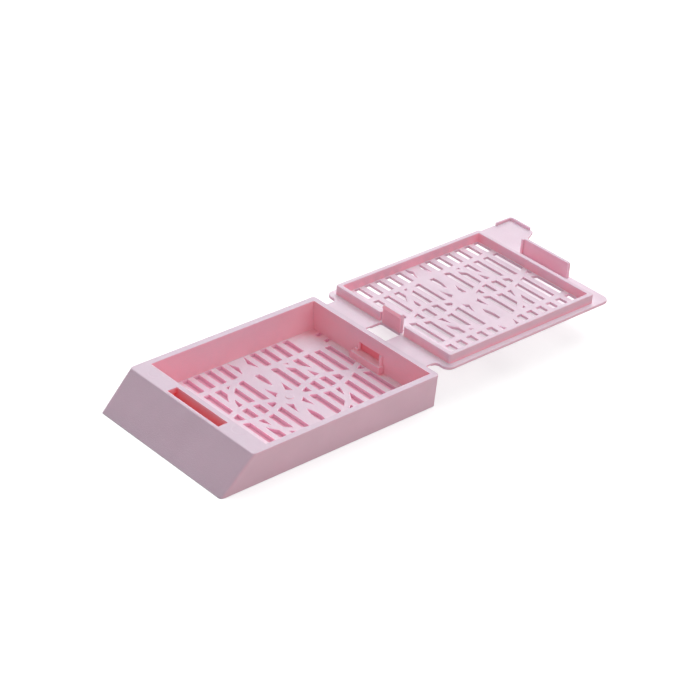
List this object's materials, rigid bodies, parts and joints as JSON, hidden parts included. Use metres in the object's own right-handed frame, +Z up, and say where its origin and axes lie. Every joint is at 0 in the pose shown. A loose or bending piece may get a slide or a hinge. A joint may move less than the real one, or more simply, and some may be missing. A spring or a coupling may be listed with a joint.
{
  "type": "tissue processing cassette",
  "caption": "Small perforated plastic tray with a sloped writing face and a hinged perforated lid, shown open, for holding tissue specimens during processing.",
  "frame": {"origin": "middle of the tray's floor grille, on the underside that the base rests on", "axes": "+X along the cassette from the sloped writing face towards the hinge and the open lid, +Y towards the side with the thumb tab, +Z up, out of the open tray"},
  "size_m": [0.0848, 0.0284, 0.0087],
  "materials": {
    "cassette_plastic": "satin, pale pink, slightly translucent acetal"
  },
  "bodies": {
    "base": {"base": "cassette_plastic"},
    "lid": {"lid": "cassette_plastic"}
  },
  "joints": [
    {"name": "lid_hinge", "type": "hinge", "parent": "base", "child": "lid", "pos_m": [0.01783, 0, 0.0056], "axis": [0, -1, 0], "range_deg": [0, 180]}
  ]
}
